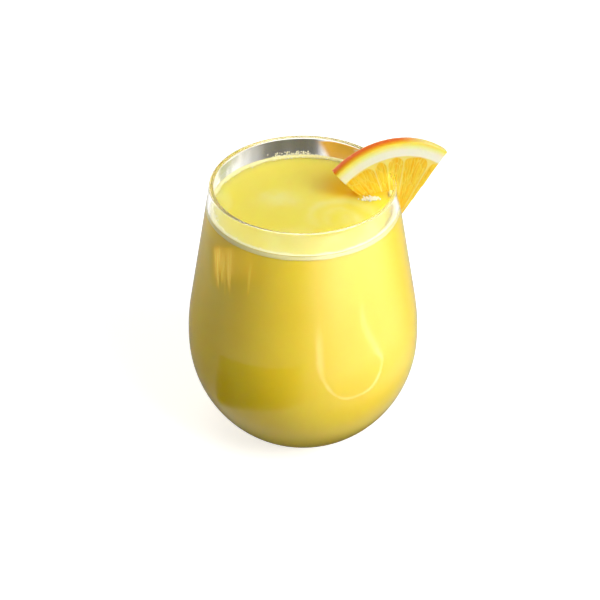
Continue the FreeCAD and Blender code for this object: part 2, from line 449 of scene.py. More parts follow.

# %% [markdown]
# ## Marks on the juice
# Each point of the juice keeps three numbers. The first tells the free top from the side
# behind the glass. The second tells how pale it is: in the streaks of the stir, in a cloud, in
# two arcs round an eye, along the brim, and in a soft fringe that hangs down behind the glass.
# The third marks the place beside the slice, where a painted orange shade deepens the slice's
# shadow. All three could be painted by hand, but a formula is easier to change.

# %% Store the marks of the juice
streak_patch = 9 * MM
edge_foam_width = 1.6 * MM
swirl_place = np.array([-9.0, 3.5]) * MM
swirl_size = np.array([8.0, 5.0]) * MM
eye_place = np.array([15.0, -11.0]) * MM
inner_arc, inner_arc_width = 6.5 * MM, 1.6 * MM
outer_arc, outer_arc_width = 12 * MM, 2.3 * MM
fringe_depth = 1.3 * MM


def store(piece, name, values):
    """Keeps a number for each vertex of a piece under a name that materials can read."""
    layer = piece.data.attributes.new(name, "FLOAT", "POINT")
    layer.data.foreach_set("value", np.asarray(values, np.float32))


def vertices_of(piece):
    """The places of a piece's vertices, one row for each."""
    flat = np.empty(len(piece.data.vertices) * 3)
    piece.data.vertices.foreach_get("co", flat)
    return flat.reshape(-1, 3)


x, y, z = vertices_of(juice).T
from_axis = np.hypot(x, y)
on_top = (z > juice_level - 1.5 * ripple_height) & (from_axis < brim_radius * 0.999)
patchy = soft_noise(x / streak_patch, y / streak_patch, seed=5, octaves=2)
streaks = smooth_step(0.2, 1.0, stir(x, y)) * smooth_step(-0.5, 0.6, patchy)
edge_foam = np.exp(-np.maximum(brim_radius - from_axis, 0) / edge_foam_width)

swirl_bend = 4.0 * MM * soft_noise(x / (7 * MM), y / (7 * MM), seed=15, octaves=3)
swirl = bell(x - swirl_place[0] + swirl_bend, swirl_size[0])
swirl = swirl * bell(y - swirl_place[1] - swirl_bend, swirl_size[1])
from_eye = np.hypot(x - eye_place[0], y - eye_place[1]) + 0.5 * swirl_bend
arcs = 0.8 * bell(from_eye - inner_arc, inner_arc_width) + bell(from_eye - outer_arc, outer_arc_width)
arcs = arcs * smooth_step(-7 * MM, 6 * MM, y - eye_place[1] + 2 * swirl_bend)
pale_marks = 0.35 * streaks + 0.55 * swirl + 0.42 * arcs + edge_foam

bearing = np.degrees(np.arctan2(y, x))
fringe = fringe_depth + 0.4 * MM * soft_noise(bearing / 5, 0 * z, seed=25, octaves=2)
below_foam = 0.35 * smooth_step(fringe, 0, juice_level - z)
# Painted shade: an orange patch beside the slice that deepens its shadow on the juice.
painted_slice_shade = band(y, 1 * MM, 8 * MM, 10 * MM, 30 * MM) * band(x, 3 * MM, 15 * MM, 30 * MM, 40 * MM)
store(juice, "top", on_top)
store(juice, "pale", np.where(on_top, np.clip(pale_marks, 0, 1), below_foam))
store(juice, "warm", on_top * painted_slice_shade)
print("pale share of the free top", round(float(np.clip(pale_marks, 0, 1)[on_top].mean()), 2))

# %% [markdown]
# ## Opaque juice
# Strained juice with pulp scatters light a few millimetres deep, so it looks like thick paint
# with a glow. Subsurface scattering does that. Where it touches glass it has hardly any gloss
# of its own, because no air lies between. Its free surface is wet and shiny, less so in the
# painted shade beside the slice, which also tints it orange. Broad clouds of finer and coarser
# pulp keep the colour from being flat.

# %% The juice's material
juice_deep = (0.93, 0.725, 0.014)
juice_free = (0.93, 0.80, 0.085)
juice_pale = (0.97, 0.90, 0.36)
juice_cloud = (0.95, 0.78, 0.05)
# The colour of the painted shade beside the slice.
juice_painted_shade = (0.96, 0.62, 0.012)

juice_material, juice_tree, juice_shader = new_material(
    "juice", IOR=1.35, Subsurface_Weight=1.0, Subsurface_Scale=6.0 * MM,
    Subsurface_Radius=(1.0, 0.8, 0.10))
free = attribute(juice_tree, "top")
body_colour = mixed(juice_tree, free, juice_deep, juice_free)
place = node(juice_tree, "ShaderNodeTexCoord").outputs["Object"]
clouds = node(juice_tree, "ShaderNodeTexNoise", in_Scale=45.0, in_Detail=3.0, in_Roughness=0.55)
juice_tree.links.new(place, clouds.inputs["Vector"])
cloudy = ramp(juice_tree, clouds.outputs["Fac"], [(0.35, (0, 0, 0)), (0.75, (0.55, 0.55, 0.55))])
body_colour = mixed(juice_tree, cloudy, body_colour, juice_cloud)
body_colour = mixed(juice_tree, attribute(juice_tree, "warm"), body_colour, juice_painted_shade)
juice_colour = mixed(juice_tree, attribute(juice_tree, "pale"), body_colour, juice_pale)
juice_tree.links.new(juice_colour, juice_shader.inputs["Base Color"])
gloss = node(juice_tree, "ShaderNodeMapRange", in_To_Min=0.6, in_To_Max=0.28)
juice_tree.links.new(free, gloss.inputs["Value"])
juice_tree.links.new(gloss.outputs[0], juice_shader.inputs["Roughness"])
# Less gloss in the painted shade beside the slice.
shaded = node(juice_tree, "ShaderNodeMapRange", in_To_Min=0.5, in_To_Max=0.08)
juice_tree.links.new(attribute(juice_tree, "warm"), shaded.inputs["Value"])
juice_tree.links.new(shaded.outputs[0], juice_shader.inputs["Specular IOR Level"])
juice.data.materials.append(juice_material)
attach(juice, "root")
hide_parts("juice")

# %% [markdown]
# ## Foam at the edge
# Pouring leaves a thin rope of fine pale foam where the juice meets the glass. It is a small
# rounded section carried round the glass, thicker and thinner along its way, lumpy, and
# pressed flat against the wall. A torus could be displaced by a noise texture, but it
# wouldn't follow the wall.

# %% The rope of foam
foam_width = 1.7 * MM
foam_height = 2.3 * MM
foam_sink = 0.10 * MM
foam_into_wall = 1.5 * wall_overlap
foam_press = 1.25
wave_circle = 12.0
lump_circle = 90.0
lump_ring = 3.0
rope_steps = 720
section_steps = 20

around = (np.arange(rope_steps) * 2 * np.pi / rope_steps)[:, None]
section = np.arange(section_steps) * 2 * np.pi / section_steps
wave = soft_noise(wave_circle * np.cos(around), wave_circle * np.sin(around), seed=21, octaves=3)
uneven = 1 + 0.28 * wave
lump_x = lump_circle * np.cos(around) + lump_ring * np.cos(section)
lump_y = lump_circle * np.sin(around) + lump_ring * np.sin(section)
lumps = 1 + 0.10 * soft_noise(lump_x, lump_y, seed=23, octaves=2)
half_width = foam_width / 2 * uneven * lumps
half_height = foam_height / 2 * uneven * lumps
rope_z = juice_level - foam_sink + half_height * np.sin(section)
rope_wall = inside_radius(rope_z) + foam_into_wall
rope_r = np.minimum(rope_wall, rope_wall - half_width * (1 - foam_press * np.cos(section)))
rope = round_axis(rope_r, around, rope_z)
rope_quads = grid_quads(rope_steps + 1, section_steps, wrap=True) % (rope_steps * section_steps)
foam = add_piece("foam_rope", rope.reshape(-1, 3), rope_quads[:, ::-1])

foam_material = new_material(
    "foam", Base_Color=(0.96, 0.89, 0.46, 1), Roughness=0.45, IOR=1.33,
    Subsurface_Weight=0.35, Subsurface_Scale=0.5 * MM, Subsurface_Radius=(1.0, 0.9, 0.6))[0]
foam.data.materials.append(foam_material)
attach(foam, "root")
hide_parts("juice")
print("foam faces", len(foam.data.polygons))


# %% [markdown]
# ## Bubbles
# Larger bubbles gather along the edge, most of all at the far side and where the slice enters
# the juice, and a few cling to the glass above the foam. Each is a small ball of few faces. All
# of them are one mesh: the array of one unit ball is repeated at every centre and scaled to
# every radius at once.

# %% Scatter the bubbles
ball_rows, ball_columns = 6, 8
pole_gap = 0.02
ball_tilt = np.linspace(pole_gap, np.pi - pole_gap, ball_rows)[:, None]
ball_turn = (np.arange(ball_columns) * 2 * np.pi / ball_columns)[None]
ball = round_axis(np.sin(ball_tilt), ball_turn, np.cos(ball_tilt)).reshape(-1, 3)
ball_quads = grid_quads(ball_rows, ball_columns, wrap=True)[:, ::-1]
spoke = np.arange(1, ball_columns - 1)
ball_caps = np.stack([spoke, spoke + 1, 0 * spoke], -1)
far_cap = (ball_rows - 1) * ball_columns + ball_caps[:, ::-1]
dice = np.random.default_rng(5)


def along_wall(count, first, last, smallest, largest, furthest):
    """Centres and radii of bubbles between two bearings, up to a distance from the wall."""
    size = smallest + (largest - smallest) * dice.random(count) ** 2
    bearing = np.radians(first + (last - first) * dice.random(count))
    out = inside_radius(juice_level) - size - furthest * dice.random(count) ** 2
    piled_up = 0.7 * MM * dice.random(count) * (out > brim_radius - 2 * MM)
    height = juice_level + 0.2 * MM + size * 0.3 + piled_up
    return round_axis(out, bearing, height), size


def up_the_wall(count, middle, spread, smallest, largest, highest):
    """Centres and radii of bubbles that cling to the wall above the foam, fewer the higher."""
    size = smallest + (largest - smallest) * dice.random(count)
    bearing = np.radians(middle + spread * dice.normal(0, 0.5, count))
    height = juice_level + 0.9 * MM + highest * dice.random(count) ** 1.6
    return round_axis(inside_radius(height) - 0.8 * size, bearing, height), size


def in_patch(count, middle, reach, smallest, largest):
    """Centres and radii of bubbles crowded round a place on the juice."""
    size = smallest + (largest - smallest) * dice.random(count)
    spread = dice.normal(0, 0.5, (count, 2)) * reach
    height = juice_level + 0.25 * size + 0.1 * MM * dice.random(count)
    return np.stack([middle[0] + spread[:, 0], middle[1] + spread[:, 1], height], -1), size


slice_foot = np.array([25.2, 3.2]) * MM
foot_reach = np.array([3.0, 1.6]) * MM
groups = [
    up_the_wall(count=110, middle=94, spread=15, smallest=0.14 * MM, largest=0.30 * MM, highest=1.9 * MM),
    along_wall(count=50, first=72, last=112, smallest=0.20 * MM, largest=0.45 * MM, furthest=1.6 * MM),
    along_wall(count=120, first=-180, last=180, smallest=0.12 * MM, largest=0.30 * MM, furthest=2.2 * MM),
    in_patch(count=80, middle=slice_foot, reach=foot_reach, smallest=0.30 * MM, largest=0.60 * MM),
]
centres = np.concatenate([places for places, _ in groups])
sizes = np.concatenate([size for _, size in groups])
bubble_points = centres[:, None] + ball[None] * sizes[:, None, None]
shift = (np.arange(len(sizes)) * len(ball))[:, None, None]
bubble_quads = (ball_quads[None] + shift).reshape(-1, 4)
bubble_caps = (np.concatenate([ball_caps, far_cap])[None] + shift).reshape(-1, 3)
bubbles = add_piece("foam_bubbles", bubble_points.reshape(-1, 3), bubble_quads, bubble_caps)
bubble_material = new_material(
    "bubbles", Base_Color=(0.97, 0.95, 0.74, 1), Roughness=0.3, IOR=1.33,
    Subsurface_Weight=0.35, Subsurface_Scale=0.4 * MM, Subsurface_Radius=(1.0, 0.9, 0.6))[0]
bubbles.data.materials.append(bubble_material)
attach(bubbles, "root")
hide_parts("juice")
print("bubbles", len(sizes), "faces", len(bubbles.data.polygons))


# %% [markdown]
# ## The slice of orange
# A slice shows its whole build: oily peel, white pith, segments in thin skins, and in them
# the juice sacs, long drops that run towards the core. One function places any point of the
# slice from three numbers: how far from the tip, in which direction, and how far through the
# thickness. Its pattern comes first, because both the relief and the colours follow it: how
# deep a point lies in a segment, and where it lies in a sac.

# %% Pattern of the segments
pith_width = 6.0 * MM
core_radius = 2.6 * MM
membrane = 0.32 * MM
membrane_angles = np.radians([38.0, 59.8, 82.5, 96.8, 108.0, 142.0])
segment_round = 3.2 * MM
flesh_sink = 0.25 * MM
sac_bulge = 0.20 * MM
sac_length = 6.5 * MM
sacs_per_radian = 17
grain_height = 0.03 * MM
front_seed, back_seed = 51, 77


def cell_distances(u, v, seed):
    """Distances to the nearest and second nearest of points scattered one to each unit square."""
    jitter, far_off = 0.42, 9.0
    base_u, base_v = np.floor(u), np.floor(v)
    nearest = np.full(u.shape, far_off)
    second = np.full(u.shape, far_off)
    for step_u in (-1, 0, 1):
        for step_v in (-1, 0, 1):
            cell_u, cell_v = base_u + step_u, base_v + step_v
            point_u = cell_u + 0.5 + jitter * (2 * scatter(cell_u, cell_v, seed) - 1)
            point_v = cell_v + 0.5 + jitter * (2 * scatter(cell_u, cell_v, seed + 5) - 1)
            distance = np.hypot(u - point_u, v - point_v)
            second = np.minimum(second, np.maximum(nearest, distance))
            nearest = np.minimum(nearest, distance)
    return nearest, second


def depth_in_segment(radius, direction):
    """How far a point lies inside a segment's round-cornered outline, negative in skin or pith."""
    wave = 0.5 * MM * soft_noise(direction * 14, radius / (9 * MM), seed=31, octaves=2)
    turned = np.abs(direction[..., None] - membrane_angles)
    across = (radius[..., None] * np.sin(np.minimum(turned, math.pi / 2))).min(-1)
    side = across - membrane / 2 + 0.3 * wave
    end = slice_radius - pith_width + wave - radius
    off_side, off_end = np.maximum(segment_round - side, 0), np.maximum(segment_round - end, 0)
    corner = segment_round - np.hypot(off_side, off_end)
    outline = np.where((side < segment_round) & (end < segment_round), corner, np.minimum(side, end))
    return np.minimum(outline, radius - core_radius)


def juice_sacs(radius, direction, seed):
    """The wall (0) and the middle (1) of the sacs: cells much longer towards the core than wide."""
    wobble = 0.35 * soft_noise(radius / (4 * MM), direction * 20, seed=seed + 2, octaves=2)
    across, along = direction * sacs_per_radian + wobble, radius / sac_length + 2 * wobble
    nearest, second = cell_distances(across, along, seed)
    return smooth_step(0.02, 0.24, second - nearest)


def face_relief(radius, direction, seed):
    """How far a cut face stands above (or sinks below) its plane."""
    inside = depth_in_segment(radius, direction)
    flesh = smooth_step(-0.1 * MM, 0.5 * MM, inside)
    sacs = juice_sacs(radius, direction, seed)
    grain = grain_height * soft_noise(radius / (0.8 * MM), direction * 40, seed=seed + 9, octaves=2)
    grain = grain * smooth_step(0, 1 * MM, radius)
    return flesh * (sac_bulge * sacs - flesh_sink) + grain


# %% [markdown]
# ## The faces, the cut sides and the peel
# Each stretch of the surface holds one of the three numbers still: a face the place through
# the thickness, a cut side the direction, the peel the distance. They are grids of one
# function, so they meet exactly. A modelled wedge would need its relief sculpted by hand.

# %% Grids of the slice
radial_steps, turn_count, through_steps = 150, 190, 14
peel_bulge = 0.010
pore_depth = 0.10 * MM
side_wander = 0.25 * MM


def slice_point(radius, direction, through):
    """The point at a distance and direction from the tip, and at -1 to 1 through the thickness.

    The peel bulges like the ball it is cut from, the cut sides wander a little, and each face
    has its own relief.
    """
    far = (radius / slice_radius) ** 6
    bulge = 1 - peel_bulge * far * through ** 2
    pitted = soft_noise(direction * 60, through * 4, seed=41, octaves=2)
    pores = pore_depth * far * pitted * (1 - through ** 8)
    edge = np.clip((direction - slice_middle) / slice_half, -1, 1) ** 15
    wander = side_wander * edge * soft_noise(radius / (4 * MM), through * 2 + edge * 5, seed=43, octaves=2)
    front, back = face_relief(radius, direction, front_seed), face_relief(radius, direction, back_seed)
    relief = np.where(through > 0, front, back)
    r = radius * bulge + pores
    across = np.where(radius > 0, wander, 0) * np.minimum(radius / (3 * MM), 1)
    a = r * np.cos(direction) - across * np.sin(direction)
    b = r * np.sin(direction) + across * np.cos(direction)
    return np.stack([a, b, (slice_thickness / 2 + relief) * through], -1)


def slice_grid(radius, direction, through):
    """A grid of slice points over two of the three parameters, as points and their quads."""
    radius, direction, through = np.broadcast_arrays(radius, direction, through)
    points = slice_point(radius.astype(float), direction.astype(float), through.astype(float))
    return points.reshape(-1, 3), grid_quads(*radius.shape)


radius_line = slice_radius * np.linspace(0, 1, radial_steps)
direction_line = slice_middle + slice_half * np.linspace(-1, 1, turn_count)
through_line = np.linspace(-1, 1, through_steps)
grids = [
    slice_grid(radius_line[:, None], direction_line[None], 1.0),
    slice_grid(radius_line[:, None], direction_line[None], -1.0),
    slice_grid(slice_radius, direction_line[:, None], through_line[None]),
    slice_grid(radius_line[:, None], direction_line[0], through_line[None]),
    slice_grid(radius_line[:, None], direction_line[-1], through_line[None]),
]
offsets = np.cumsum([0] + [len(points) for points, _ in grids])
slice_points = from_slice(np.concatenate([points for points, _ in grids]))
slice_quads = np.concatenate([quads + offset for (_, quads), offset in zip(grids, offsets)])
orange = add_piece("orange_slice_cut", slice_points, slice_quads)


# %% [markdown]
# ## One body with a slit
# The grids are joined where they meet. A knife then cuts the slit: a ring with the section of
# the glass's wall, a little thicker all round. It is cut by a boolean and not drawn into the
# grids, so that the slit follows the wall however the slice leans.

# %% Join the slice and cut its slit
import bmesh

same_place = 0.0004 * MM
cutter_steps = 128
cutter_side_count = 24
cutter_lip_count = 12


def close_up(piece, distance):
    """Joins the edges where grids meet and turns every face outwards."""
    work = bmesh.new()
    work.from_mesh(piece.data)
    bmesh.ops.remove_doubles(work, verts=work.verts, dist=distance)
    bmesh.ops.dissolve_degenerate(work, edges=work.edges, dist=distance)
    bmesh.ops.recalc_face_normals(work, faces=work.faces)
    open_edges = sum(not edge.is_manifold for edge in work.edges)
    work.to_mesh(piece.data)
    work.free()
    return open_edges


print("open edges in the slice", close_up(orange, same_place))

cutter_out = side_points(-seat_clearance, cutter_side_count)
cutter_in = side_points(wall + seat_clearance, cutter_side_count)
cutter_lip = arc_points(lip_centre, wall / 2 + seat_clearance, flank_angle, flank_angle + math.pi,
                        cutter_lip_count)[1:-1]
cutter_profile = np.concatenate([cutter_out, cutter_lip, cutter_in[::-1]])
cutter_angle = np.arange(cutter_steps) * 2 * np.pi / cutter_steps
cutter_points = round_axis(cutter_profile[:, :1], cutter_angle, cutter_profile[:, 1:])
cutter_quads = grid_quads(len(cutter_profile) + 1, cutter_steps, wrap=True) % cutter_points[..., 0].size
cutter = add_piece("slit_cutter", cutter_points.reshape(-1, 3), cutter_quads)
close_up(cutter, 0)

slit = orange.modifiers.new("slit", "BOOLEAN")
slit.operation, slit.solver, slit.object = "DIFFERENCE", "EXACT", cutter
bpy.context.view_layer.objects.active = orange
bpy.ops.object.modifier_apply(modifier=slit.name)
bpy.data.objects.remove(cutter)
print("slice faces after the slit", len(orange.data.polygons))

# %% [markdown]
# ## Colours of the orange
# Each point knows where in the fruit it lies: how deep under the peel, in a segment or in
# its skin, in the wall or the middle of a juice sac. The mesh stores those numbers, and the
# material turns them into colour: oily orange, zest, white pith, pale skins, clear pulp. The
# peel is painted paler towards its right end, where the window light falls: painted light.
# Lamps shine a little through the slice, so its shadow on the juice is warm, and painted
# orange shade on the juice deepens it.

# %% Store where each point lies, and make the material
local = to_slice(vertices_of(orange))
radius = np.hypot(local[:, 0], local[:, 1])
direction = np.arctan2(local[:, 1], local[:, 0])
inside = depth_in_segment(radius, direction)
front_sacs, back_sacs = juice_sacs(radius, direction, front_seed), juice_sacs(radius, direction, back_seed)
sacs = np.where(local[:, 2] > 0, front_sacs, back_sacs)
under_peel = (slice_radius - radius) / pith_width
from_front = slice_thickness / 2 - local[:, 2]
on_peel = smooth_step(0.45 * MM, 0.15 * MM, slice_radius - radius)
store(orange, "under_peel", np.clip(under_peel, 0, 1))
store(orange, "peel", on_peel * smooth_step(-0.2 * MM, 2.8 * MM, from_front))
# Painted light: the peel turns paler towards the right end, where the window light falls.
store(orange, "painted_light_end", smooth_step(math.radians(88), math.radians(66), direction))
store(orange, "flesh", smooth_step(-0.10 * MM, 0.25 * MM, inside))
store(orange, "sac", sacs)
strands = soft_noise(radius / (7 * MM), direction * 38, seed=61, octaves=3)
patches = soft_noise(radius / (3.5 * MM), direction * 10, seed=63, octaves=2)
store(orange, "ripeness", np.clip(0.5 + 0.8 * strands + 0.6 * patches, 0, 1))

# From the front edge to the back the peel runs from yellow-orange to deep red-orange: partly its own colour,
# partly painted light at the lit front edge and painted shade towards the back.
peel_colours = [(0.0, (0.98, 0.68, 0.05)), (0.35, (0.97, 0.46, 0.018)),
                (0.80, (0.97, 0.26, 0.005)), (1.0, (0.90, 0.15, 0.002))]
# The pale colour of the painted light on the peel's right end.
painted_lit_peel = (0.92, 0.78, 0.20)
rind_colours = [(0.0, (0.98, 0.68, 0.07)), (0.06, (0.98, 0.76, 0.12)), (0.15, (0.95, 0.85, 0.17)),
                (0.30, (0.94, 0.91, 0.38)), (0.52, (0.94, 0.93, 0.76)), (0.90, (0.94, 0.93, 0.80)),
                (0.99, (0.96, 0.77, 0.22))]
sac_wall = (0.96, 0.70, 0.095)
pulp_pale = (0.95, 0.68, 0.060)
pulp_deep = (0.92, 0.50, 0.014)
slice_tint = (0.60, 0.40, 0.08)

orange_material, orange_tree, orange_shader = new_material(
    "orange_flesh", Roughness=0.35, Specular_IOR_Level=0.12, IOR=1.36,
    Subsurface_Weight=0.7, Subsurface_Scale=1.6 * MM, Subsurface_Radius=(1.0, 0.6, 0.15))
rind = ramp(orange_tree, attribute(orange_tree, "under_peel"), rind_colours)
peel = ramp(orange_tree, attribute(orange_tree, "peel"), peel_colours)
peel = mixed(orange_tree, attribute(orange_tree, "painted_light_end"), peel, painted_lit_peel)
outside_peel = ramp(orange_tree, attribute(orange_tree, "peel"), [(0.0, (0, 0, 0)), (0.02, (1, 1, 1))])
rind = mixed(orange_tree, outside_peel, rind, peel)
pulp = mixed(orange_tree, attribute(orange_tree, "ripeness"), pulp_deep, pulp_pale)
sacs_colour = mixed(orange_tree, attribute(orange_tree, "sac"), sac_wall, pulp)
orange_colour = mixed(orange_tree, attribute(orange_tree, "flesh"), rind, sacs_colour)
orange_tree.links.new(orange_colour, orange_shader.inputs["Base Color"])
let_lamps_through(orange_tree, orange_shader, slice_tint)
orange.data.materials.append(orange_material)
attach(orange, "root")
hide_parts("orange_slice")

# %% [markdown]
# ## The table and the room
# The glass stands on a plain white table in a white room. To the camera, and in mirrors and
# clear glass, both glow white by themselves. To soft surfaces the table gives back only the
# light that falls on it, and the room gives little, so the juice isn't flooded with light.

# %% Floor and surroundings
floor_size = 6.0
floor_back = 0.5
floor_drop = 0.2 * MM
floor_glow = 0.66
ambient_strength = 0.28
ambient_colour = (1.0, 0.92, 0.80)


def seen_sharply(tree):
    """1 for camera rays and for mirrored or clear-glass rays that no soft surface has scattered."""
    path = node(tree, "ShaderNodeLightPath")
    total = path.outputs["Is Camera Ray"]
    for name in ("Is Glossy Ray", "Is Transmission Ray"):
        either = node(tree, "ShaderNodeMath", operation="MAXIMUM")
        tree.links.new(total, either.inputs[0])
        tree.links.new(path.outputs[name], either.inputs[1])
        total = either.outputs[0]
    unscattered = node(tree, "ShaderNodeMath", operation="LESS_THAN")
    unscattered.inputs[1].default_value = 0.5
    tree.links.new(path.outputs["Diffuse Depth"], unscattered.inputs[0])
    both = node(tree, "ShaderNodeMath", operation="MULTIPLY")
    tree.links.new(total, both.inputs[0])
    tree.links.new(unscattered.outputs[0], both.inputs[1])
    return both.outputs[0]


floor_x = floor_size / 2 * np.array([-1, 1, 1, -1])
floor_y = floor_size / 2 * np.array([-1, -1, 1, 1]) + floor_back
floor = add_piece("floor", np.stack([floor_x, floor_y, np.full(4, -floor_drop)], -1), np.arange(4)[None])
floor_material, floor_tree, floor_shader = new_material(
    "white_floor", Base_Color=(0.80, 0.80, 0.80, 1), Emission_Color=(1, 1, 1, 1), Roughness=0.9,
    Specular_IOR_Level=0.0)
glow = node(floor_tree, "ShaderNodeMath", operation="MULTIPLY")
glow.inputs[1].default_value = floor_glow
floor_tree.links.new(seen_sharply(floor_tree), glow.inputs[0])
floor_tree.links.new(glow.outputs[0], floor_shader.inputs["Emission Strength"])
floor.data.materials.append(floor_material)

world = bpy.data.worlds.new("room")
bpy.context.scene.world = world
world.use_nodes = True
room = world.node_tree
background = room.nodes["Background"]
sharp = seen_sharply(room)
light = node(room, "ShaderNodeMapRange", in_To_Min=ambient_strength, in_To_Max=1.0)
room.links.new(sharp, light.inputs["Value"])
room.links.new(light.outputs[0], background.inputs["Strength"])
room.links.new(mixed(room, sharp, ambient_colour, (1, 1, 1)), background.inputs["Color"])

# %% [markdown]
# ## What the glass mirrors
# Clear glass is seen by what it mirrors, so a studio sets cards around it. These cards glow
# and stand in the way of mirrored rays alone: the camera, the lamps and soft light pass by
# them. Each is a grid with a brightness and a solidness at every point, so that its edges can
# be soft. Lengths on the cards are in millimetres, and bearings in degrees.

# %% A card that is only mirrored
card_gap = 0.3 * MM


def mirrored_card(name, place, tone, cover, colour=(1, 1, 1), through_glass=False):
    """A grid of points with a brightness (tone) and a solidness (cover) at each point."""
    card = add_piece(name, place.reshape(-1, 3), grid_quads(*place.shape[:2]))
    store(card, "tone", tone.ravel())
    store(card, "cover", cover.ravel())
    material = bpy.data.materials.new(name)
    material.use_nodes = True
    tree = material.node_tree
    tree.nodes.remove(tree.nodes["Principled BSDF"])
    glow = node(tree, "ShaderNodeEmission", in_Color=(*colour, 1))
    tree.links.new(attribute(tree, "tone"), glow.inputs["Strength"])
    solid = node(tree, "ShaderNodeMath", operation="MULTIPLY")
    tree.links.new(attribute(tree, "cover"), solid.inputs[0])
    tree.links.new(seen_sharply(tree), solid.inputs[1])
    choice = node(tree, "ShaderNodeMixShader")
    tree.links.new(solid.outputs[0], choice.inputs[0])
    tree.links.new(node(tree, "ShaderNodeBsdfTransparent").outputs[0], choice.inputs[1])
    tree.links.new(glow.outputs[0], choice.inputs[2])
    tree.links.new(choice.outputs[0], tree.nodes["Material Output"].inputs["Surface"])
    card.data.materials.append(material)
    card.visible_camera = card.visible_diffuse = card.visible_shadow = False
    card.visible_transmission = through_glass


def on_table(radius, bearing, height):
    """Points on the table at a distance from the glass's axis and a bearing in degrees."""
    return round_axis(radius, np.radians(bearing), height)


def grid_of(down, across):
    """Every pair of a value down and a value across, as two arrays."""
    return np.meshgrid(down, across, indexing="ij")


# %% [markdown]
# ## The table's tone and a dark patch
# The belly mirrors the table. Its tone is dim, darkest close to the foot as painted shade, and
# bright towards the window as painted window light. A dark card, seen only in mirrors, lies in
# front on the left, and shows as a square shade low down.

# %% Cards on the table
even_tone = 0.51
left_dimmer = 0.27
foot_dimmer = 0.85

table_radius, bearing = grid_of(np.geomspace(0.023, 0.75, 160), np.linspace(-180, 180, 240))
mm_out = table_radius / MM
toward_window = band(bearing, -100, -50, -18, 28)
rise = 0.8 * smooth_step(68, 105, mm_out) + 1.2 * smooth_step(105, 190, mm_out)
rise = rise + 1.3 * smooth_step(190, 380, mm_out)
behind_left = np.clip(smooth_step(100, 150, bearing) + smooth_step(-150, -175, bearing), 0, 1)
tone = even_tone - left_dimmer * behind_left * smooth_step(220, 120, mm_out) + toward_window * rise
# Painted shade round the foot: the mirrored table is darkest close to the glass.
tone = tone * (1 - foot_dimmer * smooth_step(52, 32, mm_out))
table_cover = band(mm_out, 23, 27, 560, 740)
mirrored_card("table_tone", on_table(table_radius, bearing, card_gap), tone, table_cover)

outward_part, across = grid_of(np.linspace(0, 1, 60), np.linspace(0, 1, 60))
patch_inner = (49 + 52 * across ** 1.3) * MM
patch_outer = (150 + 85 * across) * MM
patch_radius = patch_inner + (patch_outer - patch_inner) * outward_part
patch_edge = band(outward_part, 0, 0.10, 0.90, 1) * band(across, 0, 0.07, 0.72, 1)
patch = on_table(patch_radius, -165 + 80 * across, 2 * card_gap)
mirrored_card("dark_patch", patch, 0 * across, patch_edge)

# %% [markdown]
# ## A hoop of window light
# The round side bends the light of a window into a hoop: two arms that rise from a bow. It is
# a ribbon along a flattened arc, wider where it is further out, soft at its edges and uneven.

# %% The hoop
arm = 1.5
squareness = 2 / 3
hoop_tone = 5.2
hoop_middle, hoop_half = -47, 29
hoop_far, hoop_reach = 240, 143

along = np.linspace(-arm, arm, 160)
beside = np.linspace(-1, 1, 13)
turn = np.clip(along, -1, 1) * np.pi / 2
past_bow = np.maximum(np.abs(along) - 1, 0)
hoop_radius = hoop_far - hoop_reach * np.cos(turn) ** squareness + 120 * past_bow
hoop_bearing = hoop_middle + hoop_half * np.sign(turn) * np.abs(np.sin(turn)) ** squareness
hoop_bearing = hoop_bearing - 16 * smooth_step(130, 250, hoop_radius) * (along > 0)
middle_line = on_table(hoop_radius * MM, hoop_bearing, 3 * card_gap)
heading = np.gradient(middle_line, axis=0)
sideways = np.stack([-heading[:, 1], heading[:, 0], 0 * along], -1)
sideways = sideways / np.linalg.norm(sideways, axis=1, keepdims=True)
hoop_wave = soft_noise(along * 5, 0 * along, seed=91, octaves=2)
hoop_width = (4.5 + 17 * smooth_step(110, 240, hoop_radius)) * (1 + 0.35 * hoop_wave) * MM
hoop = middle_line[:, None] + (sideways * hoop_width[:, None])[:, None] * beside[None, :, None]
hoop_ends = smooth_step(arm, arm - 0.5, np.abs(along)) * (1 + 0.4 * hoop_wave)
hoop_cover = np.clip(0.75 * np.outer(hoop_ends, (1 - beside ** 2) ** 2), 0, 1)
mirrored_card("window_hoop", hoop, np.full(hoop_cover.shape, hoop_tone), hoop_cover)

# %% [markdown]
# ## Streaks through slats
# High on the left the glass mirrors light between slats: a fan of narrow warm streaks with
# uneven ends, one more apart from them, and a weak glow around. Noise that changes fast across
# the fan and slowly along it gives the streaks.

# %% The slats
slats_colour = (1.0, 0.62, 0.18)
fan_middle = 0.24
lone_slat = 0.48

slats_down, slats_across = grid_of(np.linspace(0, 1, 40), np.linspace(0, 1, 260))
slats_curve = slats_across ** 0.8
slats_far = 216 + 244 * slats_curve
slats_near = 187 + 151 * slats_curve
slats_radius = slats_far + (slats_near - slats_far) * slats_down
slats_bearing = 150 + 17 * slats_down + (87 - 13 * slats_down) * slats_curve
fan = (slats_across - fan_middle) * (1 + 0.35 * slats_down)
slats = smooth_step(-0.15, 0.35, soft_noise(fan * 105, slats_down * 1.2, seed=83, octaves=2))
slats_end = 0.85 + 0.3 * soft_noise(fan * 30, 0 * fan, seed=84)
slats = slats * smooth_step(0.18, 0.13, np.abs(fan))
slats = slats * band(slats_down, 0.05, 0.3, slats_end - 0.08, slats_end + 0.08)
one_more = smooth_step(0.03, 0.01, np.abs(fan - lone_slat)) * band(slats_down, 0.3, 0.6, 0.9, 1)
glow_left = band(slats_across, 0, 0.12, 0.6, 1) * band(slats_down, 0, 0.2, 0.5, 1)
slats_tone = 0.5 + 2.0 * glow_left + 4.6 * slats + 3.0 * one_more
slats_cover = np.clip(glow_left + slats + one_more, 0, 1)
slats_place = on_table(slats_radius * MM, slats_bearing, 4 * card_gap)
mirrored_card("window_slats", slats_place, slats_tone, slats_cover, slats_colour)
